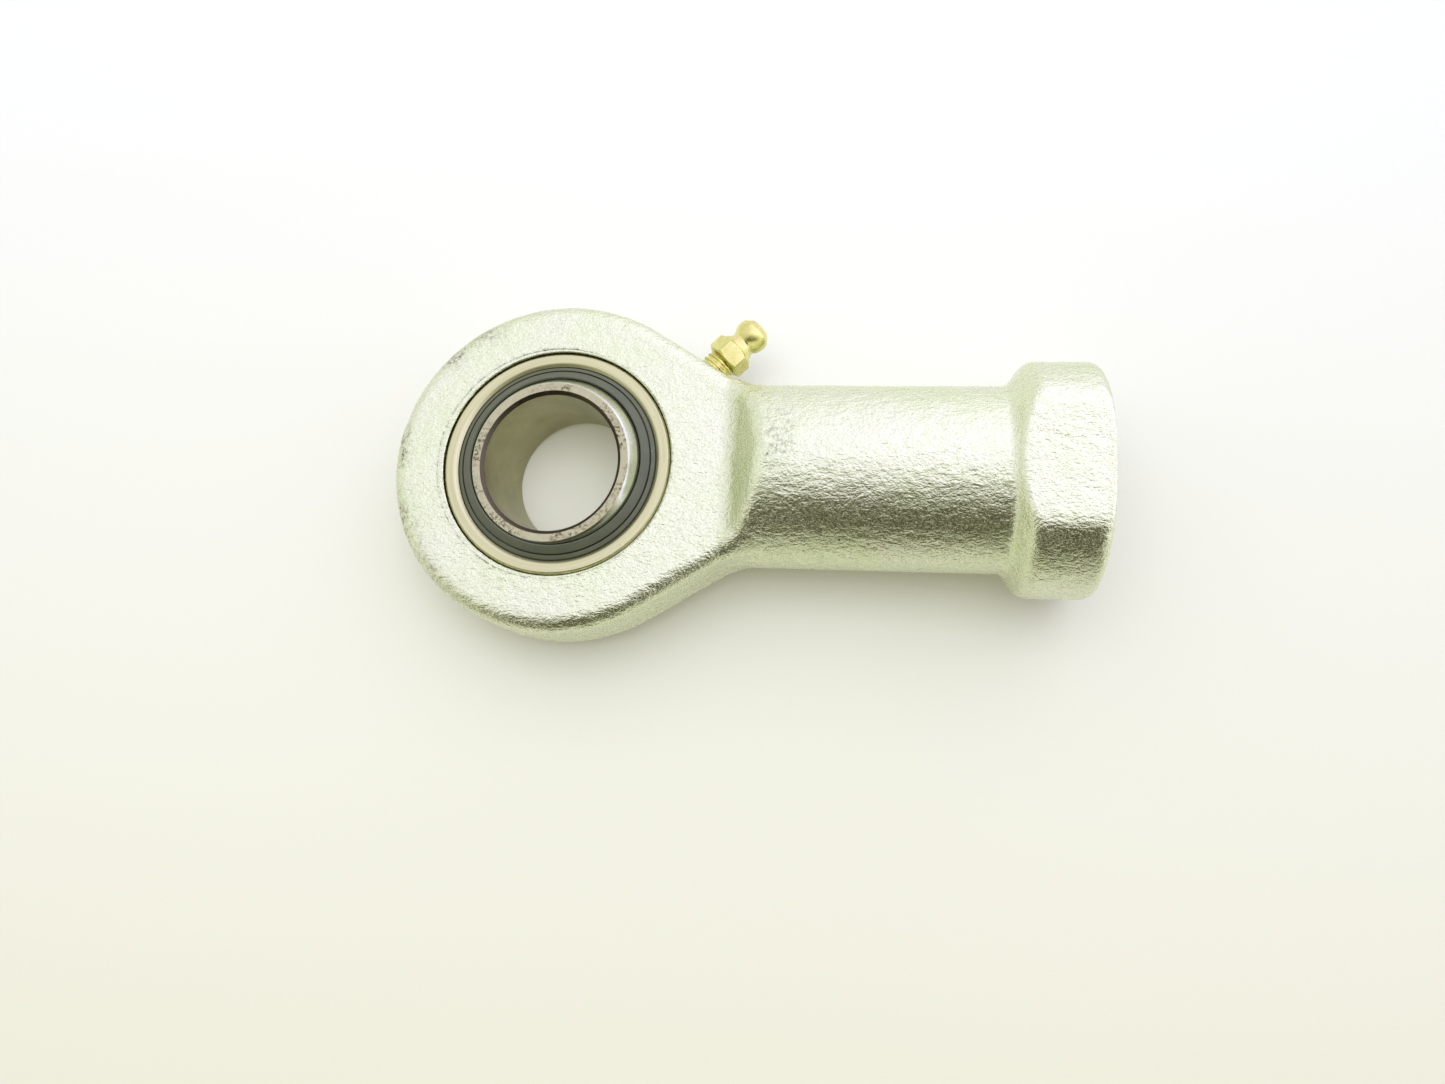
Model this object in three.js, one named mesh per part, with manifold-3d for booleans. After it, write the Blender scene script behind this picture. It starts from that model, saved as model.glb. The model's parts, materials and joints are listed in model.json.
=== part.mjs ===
// Rod end bearing with a threaded socket: a forged eye with a greasable, sealed
// spherical plain bearing (25 mm bore) on a shank threaded M24 x 2 inside.
// Millimetres. The row's origin is the centre of the shank's open end face.
// +X points out of the threaded socket, +Z is the axis of the eye.
// The bearing is drawn about its own centre, BALL_TO_END behind the origin.

import * as THREE from 'three';
import { mergeVertices } from 'three/addons/utils/BufferGeometryUtils.js';
import Module from 'manifold-3d';

const wasm = await Module();
wasm.setup();

// ---- driving dimensions ----
const BORE_D = 25;             // pin bore of the inner ring
const BALL_D = 35.5;           // spherical surface of the inner ring
const BALL_WIDTH = 20;
const BORE_CHAMFER = 0.65;
const OUTER_D = 42;            // nominal seat of the outer ring in the eye
const OUTER_WIDTH = 16;
const EYE_D = 62;
const EYE_WIDTH = 16.6;
const SHANK_D = 33.5;
const COLLAR_D = 42;
const COLLAR_LENGTH = 13;
const WRENCH_FLATS = 36;       // across the two flats of the collar
const FLAT_TWIST = 3.5;        // degrees that the flats are turned from the eye's faces
const BALL_TO_END = 95;        // ball centre to the open end face
const THREAD_D = 24;           // major diameter of the socket thread
const THREAD_DEPTH = 50;
const REST_TILT = 5.2;         // degrees that the ball leans in the eye at rest
const REST_LEAN = [-0.667, -0.745];   // direction in which its upper end leans
const NIPPLE_AXIS = 45;        // degrees from the shank's axis, in the eye's mid plane
const NIPPLE_OFFSET = 4.1;     // the nipple's axis passes this far from the ball's centre
const SEAT = 33;               // spot face of the nipple, measured along its axis
const NIPPLE_STEM = 3;         // thread left showing above the spot face
const GAP = 0.25;              // room between pieces that touch
const ROUND = 48;              // facets of a turned ring

const RAD = Math.PI / 180;
const eyeHalf = EYE_WIDTH / 2;
const eyeR = EYE_D / 2;
const shankR = SHANK_D / 2;
const ballR = BALL_D / 2;

// ---- solids ----
function solid(geometry) {
  const bare = geometry.clone();
  bare.deleteAttribute('normal');
  bare.deleteAttribute('uv');
  const merged = mergeVertices(bare, 1e-4);
  const mesh = new wasm.Mesh({
    numProp: 3,
    vertProperties: new Float32Array(merged.attributes.position.array),
    triVerts: new Uint32Array(merged.index.array),
  });
  return new wasm.Manifold(mesh);
}

function geometryOf(manifold) {
  const mesh = manifold.getMesh();
  const geometry = new THREE.BufferGeometry();
  geometry.setAttribute('position', new THREE.BufferAttribute(mesh.vertProperties, 3));
  geometry.setIndex(new THREE.BufferAttribute(mesh.triVerts, 1));
  geometry.computeVertexNormals();
  return geometry;
}

// A ring or plug turned about +Z from its [radius, height] profile.
function turned(profile, facets = ROUND) {
  const points = profile.map(([r, z]) => new THREE.Vector2(r, z));
  if (profile[0][0] > 1e-6) points.push(points[0].clone());
  return new THREE.LatheGeometry(points, facets).rotateX(Math.PI / 2);
}

// The same, turned about +X: the profile's heights run along X.
function turnedAlongX(profile, facets = ROUND) {
  return turned(profile, facets).rotateY(Math.PI / 2);
}

// Points of an arc about (cx, cy), from angle a to angle b in degrees.
function arc(cx, cy, r, a, b, steps) {
  return Array.from({ length: steps + 1 }, (_, i) => {
    const t = (a + (b - a) * i / steps) * RAD;
    return [cx + r * Math.cos(t), cy + r * Math.sin(t)];
  });
}

function outline(points) {
  return new THREE.Shape(points.map(([x, y]) => new THREE.Vector2(x, y)));
}

function prism(points, depth) {
  return new THREE.ExtrudeGeometry(outline(points), { depth, bevelEnabled: false });
}

// Height of a sphere of radius R above its middle, at distance r from its axis.
function sphereHeight(R, r) {
  return Math.sqrt(R * R - r * r);
}

// ---- housing ----
// Plan of the eye: a round head whose flanks run tangent to it and down to the shank.
function eyePlan(inset) {
  const flank = 32 * RAD;                 // slope of the flanks against the shank's axis
  const rEye = eyeR - inset;
  const ySide = shankR - inset;
  const touch = [rEye * Math.sin(flank), rEye * Math.cos(flank)];
  const xCorner = touch[0] + (touch[1] - ySide) / Math.tan(flank);
  const fillet = 9;
  const xSide = xCorner + fillet * Math.tan(flank / 2);
  const tail = [[xSide + 9, ySide - 3.6], [xSide + 5, ySide - 1.1]];   // sinks into the shank
  const side = [...tail, ...arc(xSide, ySide + fillet, fillet, -90, -90 - flank / RAD, 5)];
  const head = arc(0, 0, rEye, 90 - flank / RAD, 270 + flank / RAD, 34);
  const low = side.map(([x, y]) => [x, -y]).reverse();
  return [...side, ...head, ...low];
}

function eyeSolid() {
  const edge = 2.4;                       // rounding of the forged rims
  const geometry = new THREE.ExtrudeGeometry(outline(eyePlan(edge)), {
    depth: EYE_WIDTH - 2 * edge, bevelEnabled: true,
    bevelThickness: edge, bevelSize: edge, bevelSegments: 4,
  });
  return solid(geometry.translate(0, 0, -eyeHalf + edge));
}

function shankSolid() {
  const endX = BALL_TO_END;
  const collarX = endX - COLLAR_LENGTH;
  const collarR = COLLAR_D / 2;
  const slope = 50;                       // degrees of the shoulder cone from the shank's axis
  const neckR = 2;
  const brimR = 3;
  const endR = 2.2;
  return solid(turnedAlongX([
    [0, 24], [shankR, 24],
    ...arc(shankR + neckR, collarX - 3.4, neckR, 180, 180 - slope, 3),
    ...arc(collarR - brimR, collarX + 2.1, brimR, -slope, 0, 3),
    ...arc(collarR - endR, endX - endR, endR, 0, 90, 3), [0, endX],
  ]));
}

// Material above the eye's face that the fold leaves out, seen from the side: the face runs
// through a fillet into a steep ramp, which rolls over a brim into the top of the shank.
function foldCutter() {
  const slope = 60;                       // degrees of the ramp against the face
  const rampX = 32.4;                     // where the ramp's line meets the face
  const footR = 4.5;
  const brimR = 1.9;
  const alongRamp = (z) => rampX + (z - eyeHalf) / Math.tan(slope * RAD);
  const footX = rampX - footR * Math.tan(slope / 2 * RAD);
  const brimZ = shankR - brimR;
  const brimX = alongRamp(brimZ + brimR * Math.cos(slope * RAD)) + brimR * Math.sin(slope * RAD);
  const rise = [[12, eyeHalf], ...arc(footX, eyeHalf + footR, footR, -90, slope - 90, 5),
    ...arc(brimX, brimZ, brimR, 90 + slope, 90, 4), [brimX + 0.1, 24], [12, 24]];
  return solid(prism(rise, 60).rotateX(Math.PI / 2).translate(0, 30, 0));
}

function flatCutters() {
  const reach = 12;
  const from = BALL_TO_END - COLLAR_LENGTH - 3;
  const slab = new THREE.BoxGeometry(COLLAR_LENGTH + 6, 60, reach)
    .translate(from + (COLLAR_LENGTH + 6) / 2, 0, WRENCH_FLATS / 2 + reach / 2);
  const upper = solid(slab.clone().rotateX(FLAT_TWIST * RAD));
  const lower = solid(slab.rotateX((180 + FLAT_TWIST) * RAD));
  return upper.add(lower);
}

function bearingSeatCutter() {
  const r = OUTER_D / 2 + 0.15;
  const chamfer = 0.35;
  const z = eyeHalf;
  return solid(turned([
    [0, -z - 2], [r + chamfer + 2, -z - 2], [r, -z + chamfer], [r, z - chamfer],
    [r + chamfer + 2, z + 2], [0, z + 2],
  ], 64));
}

function socketCutter() {
  const r = THREAD_D / 2 + 0.1;
  const endX = BALL_TO_END;
  const bottom = endX - THREAD_DEPTH;
  return solid(turnedAlongX([
    [0, bottom - r * Math.tan(31 * RAD)], [r, bottom], [r, endX - 1], [r + 3, endX + 2],
    [0, endX + 2],
  ], 40));
}

// Hole for the nipple, its spot face and the drilled way down to the bearing.
function nippleHoleCutter() {
  const threadR = 3.2;
  const drillR = 1.25;
  return solid(turned([
    [0, 16], [drillR, 16], [drillR, SEAT - 5.6], [threadR, SEAT - 4.3],
    [threadR, SEAT], [4.6, SEAT], [4.6, SEAT + 9], [0, SEAT + 9],
  ], 20).applyMatrix4(nippleFrame()));
}

function nippleFrame() {
  const a = NIPPLE_AXIS * RAD;
  const foot = new THREE.Vector3(Math.sin(a), -Math.cos(a), 0).multiplyScalar(NIPPLE_OFFSET);
  const along = new THREE.Vector3(Math.cos(a), Math.sin(a), 0);
  const up = new THREE.Vector3(0, 0, 1);
  const across = new THREE.Vector3().crossVectors(up, along);
  return new THREE.Matrix4().makeBasis(up, across.negate(), along).setPosition(foot);
}

function housing() {
  const fold = foldCutter();
  const shank = shankSolid().subtract(fold).subtract(fold.mirror([0, 0, 1]))
    .subtract(flatCutters());
  return geometryOf(eyeSolid().add(shank).subtract(bearingSeatCutter())
    .subtract(socketCutter()).subtract(nippleHoleCutter()));
}

// ---- bearing ----
function outerRing() {
  const r = OUTER_D / 2 - 0.12;
  const z = OUTER_WIDTH / 2;
  const chamfer = 0.4;
  const mouthR = 18.3;                    // opening beside the seal
  const pocketR = 18.9;                   // undercut that holds the seal
  const pocketZ = 5.9;
  const raceR = ballR + 0.28;             // faceted race, clear of the turning ball
  const raceEdge = Math.asin(pocketZ / raceR) / RAD;
  const upper = [[mouthR, z], [mouthR, 7.45], [pocketR, 7.1], [pocketR, pocketZ]];
  const lower = upper.map(([a, b]) => [a, -b]).reverse();
  const race = arc(0, 0, raceR, -raceEdge, raceEdge, 6);
  const body = solid(turned([
    ...lower, [r - chamfer, -z], [r, -z + chamfer],
    [r, -1.6], [r - 0.9, -1.1], [r - 0.9, 1.1], [r, 1.6],
    [r, z - chamfer], [r - chamfer, z], ...upper, ...race.reverse(),
  ]));
  const hole = solid(new THREE.CylinderGeometry(1.25, 1.25, 2 * r + 4, 12)
    .rotateZ((NIPPLE_AXIS + 90) * RAD));
  return geometryOf(body.subtract(hole));
}

function innerRing() {
  const z = BALL_WIDTH / 2;
  const r = BORE_D / 2;
  const edgeAngle = Math.asin((z - 0.15) / ballR) / RAD;
  return turned([
    [r, -z + BORE_CHAMFER], [r + BORE_CHAMFER, -z],
    [sphereHeight(ballR, z) - 0.12, -z],
    ...arc(0, 0, ballR, -edgeAngle, edgeAngle, 12),
    [sphereHeight(ballR, z) - 0.12, z],
    [r + BORE_CHAMFER, z], [r, z - BORE_CHAMFER],
  ]);
}

// Double-lip seal on the +Z side: a heel in the ring's pocket and a lip by the ball.
function seal() {
  const lipR = ballR + GAP;
  const inner = [15.75, 16.35, 16.85].map((r) => [r, sphereHeight(lipR, r)]);
  return turned([
    ...inner, [17.1, 6.15], [18.65, 6.15], [18.65, 6.85], [18.05, 7.25], [18.05, 8.1],
    [17.5, 8.2], [17.35, 7.7], [17.2, 7.7], [17.05, 8.35], [15.95, 8.95],
  ]);
}

// ---- grease nipple, drawn along +Z with its spot face at SEAT ----
const HEX_FOOT = SEAT + NIPPLE_STEM;
const HEX_AF = 7;
const SPRING_FOOT = HEX_FOOT - 4.9;
const CHECK_R = 0.95;                     // check ball
const CHECK_Z = HEX_FOOT + 7.75;          // its centre, closed against the seat

function nippleBody() {
  const top = HEX_FOOT + 9.5;
  const crest = 2.95;
  const root = 2.45;
  const turns = 4;                        // drawn where the thread shows, plain below
  const screw = Array.from({ length: turns }, (_, i) => {
    const z = HEX_FOOT - turns + 0.1 + i;
    return [[root, z], [crest, z + 0.3], [crest, z + 0.55], [root, z + 0.85]];
  }).flat();
  const shaft = solid(turned([
    [0.85, HEX_FOOT - 6.4], [2.2, HEX_FOOT - 6.4], ...screw,
    [root + 0.1, HEX_FOOT + 0.2], [3, HEX_FOOT + 0.4], [3.1, HEX_FOOT + 3.7],
    [2.6, HEX_FOOT + 4.6], [2.3, HEX_FOOT + 5.3],
    ...arc(0, HEX_FOOT + 7.4, 3.25, -38, 32, 5),
    [2.35, HEX_FOOT + 9.25], [1.9, top], [1.15, top], [0.75, top - 0.5], [0.75, top - 0.8],
    [1.3, top - 1.5], [1.3, HEX_FOOT - 5.2], [0.85, HEX_FOOT - 5.6],
  ], 20));
  const acrossCorners = HEX_AF / Math.cos(30 * RAD);
  const bar = solid(new THREE.CylinderGeometry(acrossCorners / 2, acrossCorners / 2, 3.6, 6)
    .rotateX(Math.PI / 2).rotateZ(30 * RAD).translate(0, 0, HEX_FOOT + 1.8));
  const trim = solid(turned([
    [1.35, HEX_FOOT], [3.4, HEX_FOOT], [4.05, HEX_FOOT + 0.4], [4.05, HEX_FOOT + 3.1],
    [3.3, HEX_FOOT + 3.6], [1.35, HEX_FOOT + 3.6],
  ], 20));
  return geometryOf(shaft.add(bar.intersect(trim)));
}

function nippleSpring() {
  const coilR = 0.85;
  const wireR = 0.17;
  const length = CHECK_Z - CHECK_R - wireR - 0.12 - SPRING_FOOT;
  const turns = 7;
  class Helix extends THREE.Curve {
    getPoint(t, target = new THREE.Vector3()) {
      const a = 2 * Math.PI * turns * t;
      return target.set(coilR * Math.cos(a), coilR * Math.sin(a), SPRING_FOOT + length * t);
    }
  }
  const wire = new THREE.Shape(arc(0, 0, wireR, 0, 288, 4)
    .map(([x, y]) => new THREE.Vector2(x, y)));
  return new THREE.ExtrudeGeometry(wire, { steps: turns * 9, extrudePath: new Helix() });
}

// ---- assembly ----
function metal(color, roughness, metalness = 1) {
  return new THREE.MeshStandardMaterial({ color, roughness, metalness });
}

function piece(name, geometry, material) {
  const mesh = new THREE.Mesh(geometry, material);
  mesh.name = name;
  return mesh;
}

const rodEnd = new THREE.Group();
rodEnd.position.x = -BALL_TO_END;

rodEnd.add(piece('housing', housing(), metal(0xc9cdb9, 0.45)));
rodEnd.add(piece('outer_ring', outerRing(), metal(0xb9b296, 0.35)));

const ball = piece('inner_ring', innerRing(), metal(0xb3ae9c, 0.3));
ball.quaternion.setFromAxisAngle(
  new THREE.Vector3(-REST_LEAN[1], REST_LEAN[0], 0).normalize(), REST_TILT * RAD);
rodEnd.add(ball);

const sealRubber = metal(0x5f6459, 0.6, 0);
rodEnd.add(piece('front_seal', seal(), sealRubber));
const backSeal = piece('back_seal', seal(), sealRubber.clone());
backSeal.rotation.x = Math.PI;
rodEnd.add(backSeal);

const nipple = new THREE.Group();
nipple.applyMatrix4(nippleFrame());
nipple.add(piece('nipple_body', nippleBody(), metal(0xc8a24a, 0.35)));
nipple.add(piece('nipple_spring', nippleSpring(), metal(0x8d9092, 0.35)));
const checkBall = piece('nipple_check_ball', new THREE.SphereGeometry(CHECK_R, 14, 10),
  metal(0xb8bbbd, 0.2));
checkBall.position.z = CHECK_Z;
nipple.add(checkBall);
rodEnd.add(nipple);

export default rodEnd;
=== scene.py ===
import json
import math

import bpy
import numpy as np
from mathutils import Matrix, Vector


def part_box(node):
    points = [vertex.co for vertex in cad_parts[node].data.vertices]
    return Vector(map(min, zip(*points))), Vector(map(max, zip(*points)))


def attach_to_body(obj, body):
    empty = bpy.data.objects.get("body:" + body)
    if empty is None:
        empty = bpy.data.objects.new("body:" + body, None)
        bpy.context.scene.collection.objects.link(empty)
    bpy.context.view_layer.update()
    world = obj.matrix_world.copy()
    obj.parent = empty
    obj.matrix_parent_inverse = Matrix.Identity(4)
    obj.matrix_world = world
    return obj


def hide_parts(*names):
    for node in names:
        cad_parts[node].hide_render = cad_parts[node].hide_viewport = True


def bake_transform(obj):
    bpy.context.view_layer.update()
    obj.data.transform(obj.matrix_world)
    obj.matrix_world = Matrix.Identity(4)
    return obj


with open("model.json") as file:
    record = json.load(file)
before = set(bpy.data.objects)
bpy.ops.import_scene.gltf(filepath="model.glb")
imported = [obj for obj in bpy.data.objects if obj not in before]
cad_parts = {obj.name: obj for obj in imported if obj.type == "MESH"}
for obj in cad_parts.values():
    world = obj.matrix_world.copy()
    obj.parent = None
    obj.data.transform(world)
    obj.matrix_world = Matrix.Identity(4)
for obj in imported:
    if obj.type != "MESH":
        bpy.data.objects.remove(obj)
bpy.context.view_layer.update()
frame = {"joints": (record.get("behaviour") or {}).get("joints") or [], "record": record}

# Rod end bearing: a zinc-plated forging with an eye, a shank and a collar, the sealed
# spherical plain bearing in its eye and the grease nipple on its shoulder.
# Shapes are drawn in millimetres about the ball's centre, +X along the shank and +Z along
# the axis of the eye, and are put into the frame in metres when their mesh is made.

MM = 0.001
joints = {j["name"]: j for j in frame["joints"]}
mounts = {m["name"]: m for m in frame["record"]["mounts"]}
BALL_CENTRE = np.array(joints["ball_spin"]["pos_m"])
BALL_AXIS = np.array(mounts["ball_front_face"]["axis"])
NIPPLE_AXIS = -np.array(joints["check_ball_slide"]["axis"])
CHECK_CENTRE = np.array((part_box("nipple_check_ball")[0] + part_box("nipple_check_ball")[1]) / 2)

# ---- driving dimensions, mm ----
EYE_R = 30.95
EYE_HALF = 8.3                 # half thickness of the eye
RIM_R = 3.1                    # rounding of the eye's forged rims
FLANK_SLOPE = math.radians(32)
FLANK_BLEND = 1.35             # reach of the fillet where a flank turns into the shank
SHANK_R = 16.72
SHANK_START = 10.0             # hidden inside the eye
RAMP_X = 31.9                  # where the eye's face turns up in a ramp to the shank's top
RAMP_SLOPE = math.radians(60)
RAMP_FOOT_R = 1.9
RAMP_BRIM_R = 1.7
END_X = -BALL_CENTRE[0] / MM   # open end face of the shank
COLLAR_R = 20.96
END_STEPS = 14                 # points round the collar's outer rim
FLATS_START = 60.0             # the wrench flats are cut beyond this place
FLAT_HALF = 18.0               # half the width across the wrench flats
FLAT_TWIST = math.radians(3.5)
FLAT_EDGE_R = 0.9
SEAT_R = 21.06                 # bore of the eye
LAND_R = 21.68                 # shallow land turned round the seat
LAND_SHIFT = -0.42             # the land was turned this far off centre
LAND_DEPTH = 0.14
THREAD_R = 12.05
THREAD_CREST_R = 10.95
THREAD_PITCH = 2.0
THREAD_DEPTH = 49.0
BALL_R = 17.72
BALL_HALF = 10.0
BORE_R = 12.5
BORE_CHAMFER = 0.65
RING_R = 20.86
RING_HALF = 8.0
SEAL_GAP = 0.12                # between the seal's lip and the ball
HEX_FOOT = -7.75               # nipple heights are measured from its check ball's centre
SPOT_FACE = HEX_FOOT - 3.0
SPRING_LOW = HEX_FOOT - 4.9
SPRING_HIGH = -0.85
HEX_HALF = 3.5                 # half the width across the nipple's hexagon
HEX_TURN = math.radians(23)    # how far the nipple is screwed round


# ---- noise and outlines ----
def lattice_noise(points, cell, seed):
    """Value noise from -1 to 1: a random height at each corner of cubes of side cell, from
    a hash of the corner's whole-number place, blended across the cube by a smooth step."""
    place = points / cell
    base = np.floor(place).astype(np.int64)
    step = place - base
    step = step * step * (3 - 2 * step)
    total = np.zeros(len(points))
    for corner in np.ndindex(2, 2, 2):
        k = base + corner
        h = k[:, 0] * 73856093 ^ k[:, 1] * 19349663 ^ k[:, 2] * 83492791 ^ seed * 974711
        h = (h & 0xFFFFFFFF).astype(np.uint64)
        h = ((h ^ h >> 15) * 2246822519) & 0xFFFFFFFF
        h = ((h ^ h >> 13) * 3266489917) & 0xFFFFFFFF
        value = (h ^ h >> 16).astype(float) / 2147483648.0 - 1.0
        total += value * np.where(corner, step, 1 - step).prod(axis=1)
    return total


def smooth_step(x, low, high):
    """0 below low, 1 above high, and a cubic between them with level ends."""
    t = np.clip((x - low) / (high - low), 0, 1)
    return t * t * (3 - 2 * t)


def rounded(points, radii, steps=4):
    """A closed outline with each corner replaced by a quadratic curve that starts and ends
    at its radius's tangent length from the corner, and the number of the side it follows."""
    corners = np.array(points, float)
    radii = np.broadcast_to(np.array(radii, float), len(corners))
    outline, sides = [], []
    for i, corner in enumerate(corners):
        back = corners[i - 1] - corner
        ahead = corners[(i + 1) % len(corners)] - corner
        reach = min(radii[i], 0.45 * np.linalg.norm(back), 0.45 * np.linalg.norm(ahead))
        start = corner + back / np.linalg.norm(back) * reach
        end = corner + ahead / np.linalg.norm(ahead) * reach
        if reach < 1e-4:
            outline.append(corner)
            sides.append(i)
            continue
        for t in np.linspace(0, 1, steps + 1):
            outline.append((1 - t) ** 2 * start + 2 * t * (1 - t) * corner + t * t * end)
            sides.append(i if t > 0.45 else (i - 1) % len(corners))
    return np.array(outline), np.array(sides)


def arc(cx, cy, r, start, end, steps):
    """Points on a circle about (cx, cy), from one angle in degrees to another."""
    angle = np.radians(np.linspace(start, end, steps + 1))
    return np.column_stack([cx + r * np.cos(angle), cy + r * np.sin(angle)]).tolist()


# ---- meshes from arrays ----
def make_mesh(name, vertices, faces, uv=None, face_material=None):
    """A mesh object from arrays in metres, turned inside out if its volume is negative."""
    mesh = bpy.data.meshes.new(name)
    corner = vertices[faces]
    spread = np.cross(corner[:, 1] - corner[:, 0], corner[:, 2] - corner[:, 0])
    spread += np.cross(corner[:, 2] - corner[:, 0], corner[:, -1] - corner[:, 0])
    volume = ((corner.mean(axis=1) - vertices.mean(axis=0)) * spread).sum()
    if volume < 0:
        faces = faces[:, ::-1]
        uv = None if uv is None else uv[:, ::-1]
    mesh.from_pydata(vertices.tolist(), [], faces.tolist())
    if uv is not None:
        layer = mesh.uv_layers.new(name="UVMap")
        layer.data.foreach_set("uv", uv.astype(np.float32).ravel())
    if face_material is not None:
        mesh.polygons.foreach_set("material_index", face_material.astype(np.int32))
    mesh.validate()
    piece = bpy.data.objects.new(name, mesh)
    bpy.context.scene.collection.objects.link(piece)
    return piece


def smooth(piece, degrees=38):
    """Smooth shading, with an edge kept sharp where two faces meet at a larger angle."""
    piece.data.shade_smooth()
    piece.data.set_sharp_from_angle(angle=math.radians(degrees))
    return piece


def grid_faces(rows, columns):
    """Quads of a grid whose columns close on themselves."""
    i, j = np.meshgrid(np.arange(rows - 1), np.arange(columns), indexing="ij")
    ahead = (j + 1) % columns
    quads = [i * columns + j, i * columns + ahead, (i + 1) * columns + ahead, (i + 1) * columns + j]
    return np.stack(quads, axis=-1).reshape(-1, 4)


def placed(points, origin, axes):
    """Points in mm on three local axes, put into the frame in metres."""
    return points.reshape(-1, 3) @ np.array(axes) * MM + origin


def axes_about(axis):
    """Three unit axes at right angles, the third along axis."""
    third = np.array(axis) / np.linalg.norm(axis)
    hint = np.array([0.0, 0.0, 1.0]) if abs(third[2]) < 0.9 else np.array([1.0, 0.0, 0.0])
    first = np.cross(hint, third)
    first /= np.linalg.norm(first)
    return np.array([np.cross(third, first), -first, third])


def turned(name, corners, radii, origin, axis, side_material=None, columns=288):
    """A ring turned about axis: the closed outline of (radius, height) corners, rounded,
    carried round in a circle. U runs round the ring and V along the outline, both in mm."""
    outline, sides = rounded(corners, radii)
    rows = len(outline)
    angle = np.linspace(0, 2 * np.pi, columns, endpoint=False)
    r, z = outline[:, :1], outline[:, 1:]
    points = np.stack([r * np.cos(angle), r * np.sin(angle), z + 0 * angle], axis=-1)
    vertices = placed(points, origin, axes_about(axis))
    quads = grid_faces(rows + 1, columns) % (rows * columns)
    length = np.linalg.norm(np.roll(outline, -1, axis=0) - outline, axis=1)
    along = np.concatenate([[0], np.cumsum(length)])
    i, j = np.divmod(np.arange(rows * columns), columns)
    around = outline[:, 0].max() * 2 * np.pi / columns
    u = np.stack([j, j + 1, j + 1, j], axis=-1) * around
    v = np.stack([along[i], along[i], along[i + 1], along[i + 1]], axis=-1)
    index = None if side_material is None else np.array(side_material)[sides][i]
    return smooth(make_mesh(name, vertices, quads, np.stack([u, v], axis=-1), index))


def cut(piece, *cutters):
    """Takes the cutters' volume away from the piece, and removes the cutters."""
    for cutter in cutters:
        modifier = piece.modifiers.new("cut", "BOOLEAN")
        modifier.operation = "DIFFERENCE"
        modifier.solver = "MANIFOLD"
        modifier.object = cutter
    bpy.context.view_layer.update()
    evaluated = piece.evaluated_get(bpy.context.evaluated_depsgraph_get())
    mesh = bpy.data.meshes.new_from_object(evaluated)
    piece.modifiers.clear()
    piece.data = mesh
    for cutter in cutters:
        bpy.data.objects.remove(cutter)
    return piece


# ---- housing ----
def fillet_join(a, b, r):
    """The union of two distance fields with a concave fillet of radius r between them."""
    corner = np.hypot(np.maximum(r - a, 0), np.maximum(r - b, 0))
    return np.maximum(r, np.minimum(a, b)) - corner


def round_meet(a, b, r):
    """The overlap of two distance fields with its convex edge rounded to radius r."""
    corner = np.hypot(np.maximum(r + a, 0), np.maximum(r + b, 0))
    return np.minimum(-r, np.maximum(a, b)) + corner


def eye_field(x, y, z):
    """The eye and its flanks: in plan the distance to a circle, or past its tangent point to
    the straight flank, which runs on into the shank."""
    side = np.abs(y)
    normal_x, normal_y = math.sin(FLANK_SLOPE), math.cos(FLANK_SLOPE)
    past = x * normal_y - side * normal_x > 0
    plan = np.where(past, x * normal_x + side * normal_y, np.hypot(x, y)) - EYE_R
    return round_meet(plan, np.abs(z) - EYE_HALF, RIM_R)


def shank_profile():
    """Radius of the shank and its collar along X: a neck arc, a steep shoulder and two
    rounded brims, as (x, radius) points."""
    shoulder = 50
    neck_r, brim_r, end_r = 2.0, 3.0, 2.2
    neck_x, brim_x = END_X - 16.4, END_X - 10.9
    neck = arc(neck_x, SHANK_R + neck_r, neck_r, -90, shoulder - 90, 12)
    brim = arc(brim_x, COLLAR_R - brim_r, brim_r, 90 + shoulder, 90, 12)
    end = arc(END_X - end_r, COLLAR_R - end_r, end_r, 90, 0.5, END_STEPS)
    return np.array([[0, SHANK_R], *neck, *brim, *end])


SHANK_PROFILE = shank_profile()


def shank_field(x, y, z):
    """The shank: the distance to its turned profile, cut off by the fold, where the eye's
    face turns up in a ramp, and by the two wrench flats, which are turned a little."""
    turned_field = np.hypot(y, z) - np.interp(x, SHANK_PROFILE[:, 0], SHANK_PROFILE[:, 1])
    above = np.abs(z) - EYE_HALF
    ramp = above * math.cos(RAMP_SLOPE) - (x - RAMP_X) * math.sin(RAMP_SLOPE)
    fold = fillet_join(above, ramp, RAMP_FOOT_R)
    folded = round_meet(turned_field, fold, RAMP_BRIM_R)
    flat = np.abs(z * math.cos(FLAT_TWIST) - y * math.sin(FLAT_TWIST)) - FLAT_HALF
    folded = np.maximum(folded, SHANK_START - x)
    return np.where(x > FLATS_START, round_meet(folded, flat, FLAT_EDGE_R), folded)


def housing_field(x, y, z):
    """Eye and shank joined, with a fillet along the flanks that widens away from half height
    and fades out towards the fold, where the two share the eye's face."""
    up = np.abs(z)
    side = smooth_step(np.abs(y), 10.0, 14.0) * smooth_step(x - up / 2, 25, 29)
    blend = (FLANK_BLEND + 1.1 * smooth_step(up, 3, 8)) * side * smooth_step(-x, -60, -45)
    return fillet_join(eye_field(x, y, z), shank_field(x, y, z), blend)


def reach_of_skin(x, angle):
    """How far from the X axis the housing's skin lies along each ray, by halving the
    interval that holds the change of sign of the field."""
    low, high = np.zeros_like(angle), np.full_like(angle, 40.0)
    for _ in range(26):
        middle = (low + high) / 2
        outside = housing_field(x, middle * np.cos(angle), middle * np.sin(angle)) > 0
        low, high = np.where(outside, low, middle), np.where(outside, middle, high)
    return (low + high) / 2


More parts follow.
